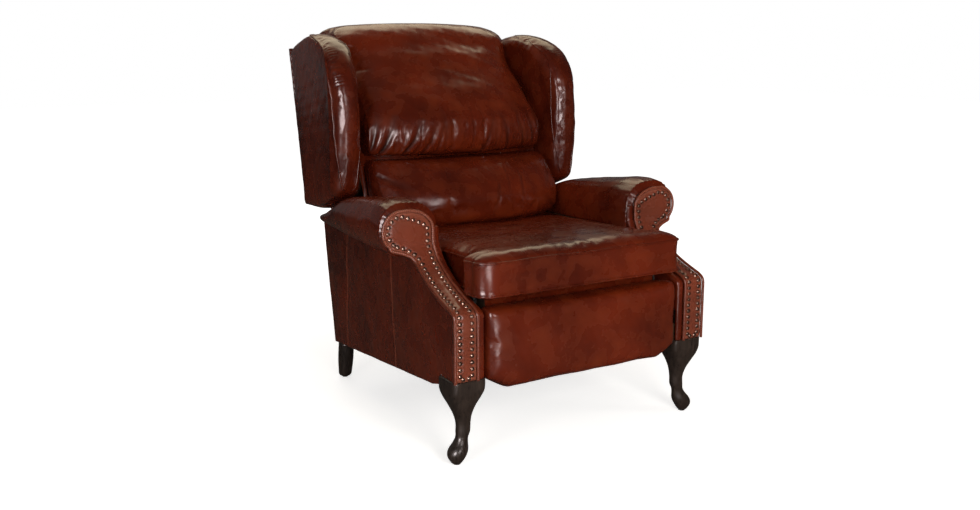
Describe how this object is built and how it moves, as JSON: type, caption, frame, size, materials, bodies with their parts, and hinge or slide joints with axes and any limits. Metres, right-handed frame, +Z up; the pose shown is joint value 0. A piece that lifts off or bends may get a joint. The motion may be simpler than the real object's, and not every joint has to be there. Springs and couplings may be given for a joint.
{
  "type": "wingback recliner",
  "caption": "Leather wingback recliner with rolled nailed arms, two padded wings, a boxed seat cushion, a scissor-linked footrest, a tilting back and carved front legs.",
  "frame": {"origin": "middle of the footprint, on the floor", "axes": "+Z up, +X to the sitter's left, -Y towards the front"},
  "size_m": [0.9294, 1.051, 1.052],
  "materials": {
    "leather": "glossy pull-up, red-brown, over foam",
    "leather_welt": "glossy piping",
    "timber": "dark stained, matt",
    "leg_wood": "dark stain, satin",
    "antique_brass": "antique, rubbed",
    "steel": "black semi-gloss",
    "black_cloth": "matt",
    "glide": "matt"
  },
  "bodies": {
    "base": {"arm_frame_left": "timber", "arm_frame_right": "timber", "outside_arm_left": "leather", "outside_arm_right": "leather", "inside_arm_left": "leather", "inside_arm_right": "leather", "arm_roll_left": "leather", "arm_roll_right": "leather", "arm_front_left": "leather", "arm_front_right": "leather", "arm_welts": "leather_welt", "arm_nails_left": "antique_brass", "arm_nails_right": "antique_brass", "arm_end_left": "leather", "arm_end_right": "leather", "front_leg_left": "leg_wood", "front_leg_right": "leg_wood", "rear_leg_left": "leg_wood", "rear_leg_right": "leg_wood", "leg_bolts": "steel", "floor_glides": "glide", "corner_blocks": "timber", "front_stretcher": "timber", "rear_rail": "timber", "base_rear_panel": "leather", "seat_runner_left": "steel", "seat_runner_right": "steel"},
    "seat": {"seat_side_rails": "timber", "seat_front_rail": "timber", "seat_rear_rail": "timber", "seat_springs": "steel", "seat_deck": "black_cloth", "seat_cushion": "leather", "side_plate_left": "steel", "side_plate_right": "steel", "plate_bolts": "steel"},
    "back": {"back_side_left": "timber", "back_side_right": "timber", "back_rails": "timber", "back_springs": "steel", "outside_back": "leather", "wing_left": "leather", "wing_right": "leather", "wing_frame_left": "timber", "wing_frame_right": "timber", "wing_welts": "leather_welt", "head_pillow": "leather", "lumbar_pillow": "leather", "back_apron": "leather", "back_brackets": "steel", "recline_springs": "steel"},
    "drive_link": {"drive_links": "steel", "torque_tube": "steel"},
    "cross_link": {"cross_links": "steel"},
    "front_link": {"front_links": "steel"},
    "upper_link": {"upper_links": "steel"},
    "footrest": {"footrest_board": "timber", "footrest_pad": "leather", "footrest_brackets": "steel"}
  },
  "joints": [
    {"name": "seat_glide", "type": "slide", "parent": "base", "child": "seat", "axis": [0, -1, 0], "range_m": [0, 0.0152]},
    {"name": "back_recline", "type": "hinge", "parent": "seat", "child": "back", "pos_m": [0, 0.25851, 0.3], "axis": [-1, 0, 0], "range_deg": [0, 30], "stiffness_Nm_per_rad": 38, "springref_deg": -34.38},
    {"name": "footrest_extend", "type": "hinge", "parent": "seat", "child": "drive_link", "pos_m": [0, -0.38049, 0.381], "axis": [-1, 0, 0], "range_deg": [0, 63]},
    {"name": "cross_pivot", "type": "hinge", "parent": "drive_link", "child": "cross_link", "pos_m": [0, -0.4053, 0.29449], "axis": [-1, 0, 0], "range_deg": [-127, 1]},
    {"name": "front_pivot", "type": "hinge", "parent": "drive_link", "child": "front_link", "pos_m": [0, -0.43231, 0.20028], "axis": [-1, 0, 0], "range_deg": [-127, 1]},
    {"name": "upper_pivot", "type": "hinge", "parent": "cross_link", "child": "upper_link", "pos_m": [0, -0.41894, 0.39153], "axis": [-1, 0, 0], "range_deg": [-1, 127]},
    {"name": "footrest_tilt", "type": "hinge", "parent": "upper_link", "child": "footrest", "pos_m": [0, -0.44595, 0.29733], "axis": [-1, 0, 0], "range_deg": [-0.5, 27.5]}
  ],
  "couplings": [
    {"joint": "seat_glide", "follows": "back_recline", "m_per_rad": 0.028648},
    {"joint": "cross_pivot", "follows": "footrest_extend", "ratio": -2},
    {"joint": "front_pivot", "follows": "footrest_extend", "ratio": -2},
    {"joint": "upper_pivot", "follows": "footrest_extend", "ratio": 2},
    {"joint": "footrest_tilt", "follows": "footrest_extend", "ratio": 0.42857}
  ]
}
